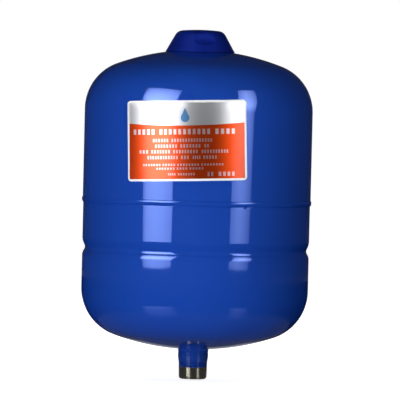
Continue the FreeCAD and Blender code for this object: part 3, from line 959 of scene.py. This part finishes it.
def world_light():
    """White behind the tank, for the camera and in gloss and glass; dim grey for the rest."""
    soft_level = 0.03
    world = bpy.data.worlds.new("studio_world")
    bpy.context.scene.world = world
    t = empty_tree(world)
    path = t.node("ShaderNodeLightPath").outputs
    seen = t.math("MAXIMUM", path["Is Camera Ray"], t.math(
        "MAXIMUM", path["Is Glossy Ray"], path["Is Transmission Ray"]))
    level = t.ramp(seen, 0.0, 1.0, soft_level, 1.0)
    t.output("World", t.node("ShaderNodeBackground", {"Color": WHITE, "Strength": level}))


def studio_walls(radius, level):
    """Dark walls and ceiling round the set, seen only in the tank's gloss."""
    foot = math.radians(-30)
    top = math.radians(90)
    ring_steps = 16
    steps = 48
    least_reach = 0.002
    rings = []
    for i in range(ring_steps + 1):
        rise = foot + (top - foot) * i / ring_steps
        rings.append((max(radius * math.cos(rise), least_reach), radius * math.sin(rise)))
    walls = turned("studio_walls", rings, steps, False, 180.0)
    walls.data.materials.append(emission("wall_tone", level))
    gloss_only(walls)


def disc(name, inner, outer, height):
    """Flat ring round the axis."""
    steps = 96
    return turned(name, ((inner, height), (outer, height)), steps, False, 180.0)


def floor_material():
    """Pale floor that the camera sees as white, with the tank's soft shadow left on it."""
    tone = (0.72, 0.72, 0.72)
    near, far = 0.03, 0.6
    near_level = 0.88
    material = bpy.data.materials.new("pale_floor")
    t = empty_tree(material)
    path = t.node("ShaderNodeLightPath").outputs
    seen = t.math("MAXIMUM", path["Is Camera Ray"], path["Is Transmission Ray"])
    pale = t.node("ShaderNodeBsdfDiffuse", {"Color": tone})
    reach = t.node("ShaderNodeVectorMath", {0: t.place()}, operation="LENGTH").outputs["Value"]
    level = t.ramp(reach, near, far, near_level, 1.0)
    glow = t.node("ShaderNodeEmission", {"Color": WHITE, "Strength": t.times(seen, level)})
    t.output("Material", t.node("ShaderNodeAddShader", {0: pale.outputs[0], 1: glow.outputs[0]}))
    return material


def black_gloss(name, level):
    """Polished black, which mirrors the softboxes at a low angle, over a faint glow."""
    material, t, shader = new_material(name)
    t.fill(shader, {
        "Base Color": (0.0, 0.0, 0.0), "Roughness": 0.06, "Emission Color": WHITE, "Emission Strength": level})
    return material


def studio_floor():
    """Pale floor for the camera, and on it dark rings that show only in the tank's gloss."""
    near_edge = 0.166
    cloth_edge = 0.215
    floor = disc("studio_floor", inner=0.5 * MM, outer=12.0, height=-0.5 * MM)
    floor.data.materials.append(floor_material())
    for name, inner, outer, finish in (
            ("near_gloss", 0.001, near_edge, black_gloss("near_gloss", 0.06)),
            ("outer_gloss", near_edge, cloth_edge, black_gloss("outer_gloss", 0.0)),
            ("dark_cloth", cloth_edge, 2.2, emission("dark_cloth", 0.0))):
        cloth = disc(name, inner, outer, 0.0)
        cloth.data.materials.append(finish)
        gloss_only(cloth)


def studio_camera(stage):
    """Long lens in front of the tank, almost level with it and turned a little."""
    frame_width = 0.367
    aim = Vector((3.05 * MM, 0.0, 164.2 * MM))
    data = bpy.data.cameras.new("camera")
    data.sensor_width = 36.0
    data.lens = data.sensor_width * stage.camera_distance / frame_width
    data.clip_start = 0.1
    data.clip_end = 100.0
    camera = bpy.data.objects.new("camera", data)
    bpy.context.scene.collection.objects.link(camera)
    reach = stage.camera_distance
    rise = stage.camera_elevation
    camera.location = aim + Vector((0.0, -reach * math.cos(rise), reach * math.sin(rise)))
    look_at(camera, aim, stage.camera_roll)
    bpy.context.scene.camera = camera


# Softboxes, which show in the gloss: azimuth, distance, foot, top, edges (see softbox), then the
# stops from side to side and from foot to top
PLAIN = ((0.0, 1.0), (1.0, 1.0))
LEFT_SOFTBOX = (
    -39.7, 1.0, 0.068, 1.27, (-0.22, 0.296, -0.47, 0.355),
    ((0.0, 0.35), (0.14, 0.85), (0.4, 1.0), (0.7, 0.9), (0.94, 0.66), (1.0, 0.5)),
    ((0.0, 0.36), (0.1, 0.5), (0.33, 1.0), (0.6, 0.75), (0.9, 0.4), (1.0, 0.3)))
RIGHT_SOFTBOX = (
    44.7, 1.0, 0.068, 1.22, (-0.222, 0.13, 0.05, 0.45),
    ((0.0, 0.55), (0.4, 1.0), (0.7, 0.75), (1.0, 0.3)),
    ((0.0, 0.28), (0.1, 0.4), (0.33, 1.0), (0.6, 0.7), (0.9, 0.5), (1.0, 0.4)))
REAR_STRIP = (180, 1.2, 0.02, 0.36, (-0.13, 0.13, -0.13, 0.13), PLAIN, PLAIN)
REAR_STRENGTH = 0.8

# Fills, which light the tank without a highlight: azimuth, foot, top, half width, radiance
FILL_DISTANCE = 1.5
FILLS = (
    ("level_fill_left", -35, 0.02, 0.14, 0.45, 13.6),
    ("level_fill_front", -10, 0.02, 0.14, 0.45, 36.0),
    ("high_fill", 15, 1.3, 1.9, 0.45, 5.6),
    ("rear_fill_left", -150, 0.02, 0.3, 0.45, 9.0),
    ("rear_fill_right", 150, 0.02, 0.3, 0.45, 9.0),
    ("rear_fill_high", 180, 0.8, 1.4, 0.8, 2.4),
)


def build_stage(stage):
    """World, floor, dark walls, lights and camera."""
    bpy.context.scene.view_settings.view_transform = "Standard"
    world_light()
    studio_walls(radius=2.4, level=0.02)
    studio_floor()
    for name, strength, place in (
            ("left_softbox", stage.key_strength, LEFT_SOFTBOX),
            ("right_softbox", stage.second_strength, RIGHT_SOFTBOX),
            ("rear_strip", REAR_STRENGTH, REAR_STRIP)):
        softbox(name, strength, *place).visible_diffuse = False
    for name, azimuth, low, high, half, radiance in FILLS:
        fill = softbox(name, radiance * stage.fill_strength, azimuth, FILL_DISTANCE, low, high,
                       (-half, half, -half, half), PLAIN, PLAIN)
        fill.visible_glossy = False
    studio_camera(stage)


# Dressing the carried-over nodes

def dress(nodes, material):
    """Give CAD nodes one material in every slot."""
    for name in nodes:
        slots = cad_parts[name].data.materials
        if not len(slots):
            slots.append(material)
        for i in range(len(slots)):
            slots[i] = material


# Metal under the cover and inside: slot, colour, roughness, pitch and depth of its marks, nodes
METAL_PARTS = (
    ("plated_steel", (0.50, 0.49, 0.46), 0.30, 0.4 * MM, 0.004 * MM, ("clamp_ring", "valve_boss")),
    ("valve_brass", (0.76, 0.53, 0.20), 0.22, 0.2 * MM, 0.003 * MM,
     ("valve_body", "core_plug", "core_barrel", "core_pin", "core_cup")),
)

# Plastic and rubber there: slot, colour, roughness, scale and height of its grain, nodes
MOULDED_PARTS = (
    ("liner_plastic", (0.78, 0.78, 0.74), 0.45, 700.0, 0.008 * MM, ("water_liner",)),
    ("core_plastic", (0.55, 0.05, 0.035), 0.4, 2000.0, 0.003 * MM, ("core_gasket",)),
    ("cap_plastic", (0.018, 0.018, 0.02), 0.45, 2000.0, 0.006 * MM, ("dust_cap",)),
    ("diaphragm_rubber", (0.022, 0.022, 0.022), 0.65, 900.0, 0.02 * MM, ("diaphragm",)),
    ("seal_rubber", (0.016, 0.016, 0.016), 0.5, 1500.0, 0.006 * MM,
     ("nipple_seal_ring", "valve_seal_ring", "core_seal", "dust_cap_seal")),
)


class TANK_OT_shells(bpy.types.Operator):
    """Paint the two shells and their small welds with blue enamel"""
    bl_idname = "tank.shells"
    bl_label = "Painted shells"

    def execute(self, context):
        material = paint_material(context.scene.tank_paint)
        dress(("nipple_weld", "boss_weld"), material)
        for sheet, node in ((upper_sheet(), "upper_shell"), (lower_sheet(), "lower_shell")):
            sheet.data.materials.append(material)
            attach(sheet, "tank")
            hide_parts(node)
        return {"FINISHED"}


class TANK_OT_weld(bpy.types.Operator):
    """Lay the rippled girth bead over the seam"""
    bl_idname = "tank.weld"
    bl_label = "Girth weld"

    def execute(self, context):
        bead = weld_bead(context.scene.tank_weld)
        bead.data.materials.append(bpy.data.materials["blue_enamel"])
        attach(bead, "tank")
        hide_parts("girth_weld")
        return {"FINISHED"}


class TANK_OT_nipple(bpy.types.Operator):
    """Cut the tapered thread into the nipple and leave its end bare of paint"""
    bl_idname = "tank.nipple"
    bl_label = "Threaded nipple"

    def execute(self, context):
        thread = context.scene.tank_thread
        nipple = threaded_nipple(thread)
        nipple.data.materials.append(nipple_material(context.scene.tank_paint, thread))
        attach(nipple, "tank")
        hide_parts("water_nipple")
        return {"FINISHED"}


class TANK_OT_cover(bpy.types.Operator):
    """Give the valve cover its moulded blue plastic"""
    bl_idname = "tank.cover"
    bl_label = "Valve cover"

    def execute(self, context):
        cover = context.scene.tank_cover
        material = moulded_material(
            "cover_plastic", cover.colour, cover.roughness, 1400.0, 0.006 * MM, cover.sheen)
        dress(("valve_cover",), material)
        return {"FINISHED"}


class TANK_OT_label(bpy.types.Operator):
    """Print the label's fields and plain blocks"""
    bl_idname = "tank.label"
    bl_label = "Label"

    def execute(self, context):
        dress(("rating_label",), label_material(context.scene.tank_label))
        return {"FINISHED"}


class TANK_OT_inner_parts(bpy.types.Operator):
    """Give the valve, the liner, the diaphragm and the seals their finishes"""
    bl_idname = "tank.inner_parts"
    bl_label = "Valve and inner parts"

    def execute(self, context):
        for make, parts in ((metal_material, METAL_PARTS), (moulded_material, MOULDED_PARTS)):
            for *finish, nodes in parts:
                dress(nodes, make(*finish))
        return {"FINISHED"}


class TANK_OT_core_spring(bpy.types.Operator):
    """Wind the valve core's spring, fixed to the tank; the real one shortens as the pin is pressed"""
    bl_idname = "tank.core_spring"
    bl_label = "Core spring"

    def execute(self, context):
        low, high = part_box("core_spring")
        spring = wound_spring(low.z, high.z)
        steel = metal_material("spring_steel", (0.55, 0.55, 0.54), 0.25, 0.1 * MM, 0.001 * MM)
        spring.data.materials.append(steel)
        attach(spring, "tank")
        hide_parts("core_spring")
        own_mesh(spring)
        return {"FINISHED"}


class TANK_OT_stage(bpy.types.Operator):
    """Set the camera, the pale floor and the softboxes"""
    bl_idname = "tank.stage"
    bl_label = "Studio"

    def execute(self, context):
        build_stage(context.scene.tank_stage)
        return {"FINISHED"}


OPERATORS = (
    TANK_OT_stage,
    TANK_OT_shells,
    TANK_OT_weld,
    TANK_OT_nipple,
    TANK_OT_cover,
    TANK_OT_label,
    TANK_OT_inner_parts,
    TANK_OT_core_spring,
)


class TANK_PT_panel(bpy.types.Panel):
    """Lists the tank's pieces and their settings"""
    bl_idname = "TANK_PT_panel"
    bl_label = "Accumulator tank"
    bl_space_type = "VIEW_3D"
    bl_region_type = "UI"
    bl_category = "Tank"

    def draw(self, context):
        for operator in OPERATORS:
            self.layout.operator(operator.bl_idname)
        for name in SETTINGS:
            box = self.layout.box()
            settings = getattr(context.scene, name)
            for prop in settings.__annotations__:
                box.prop(settings, prop)


def register():
    for name, group in SETTINGS.items():
        bpy.utils.register_class(group)
        setattr(bpy.types.Scene, name, PointerProperty(type=group))
    for operator in OPERATORS:
        bpy.utils.register_class(operator)
    bpy.utils.register_class(TANK_PT_panel)


def unregister():
    bpy.utils.unregister_class(TANK_PT_panel)
    for operator in reversed(OPERATORS):
        bpy.utils.unregister_class(operator)
    for name, group in SETTINGS.items():
        delattr(bpy.types.Scene, name)
        bpy.utils.unregister_class(group)


def main():
    register()
    build_groups()
    bpy.ops.tank.stage()
    bpy.ops.tank.shells()
    bpy.ops.tank.weld()
    bpy.ops.tank.nipple()
    bpy.ops.tank.cover()
    bpy.ops.tank.label()
    bpy.ops.tank.inner_parts()
    bpy.ops.tank.core_spring()


if __name__ == "__main__":
    main()
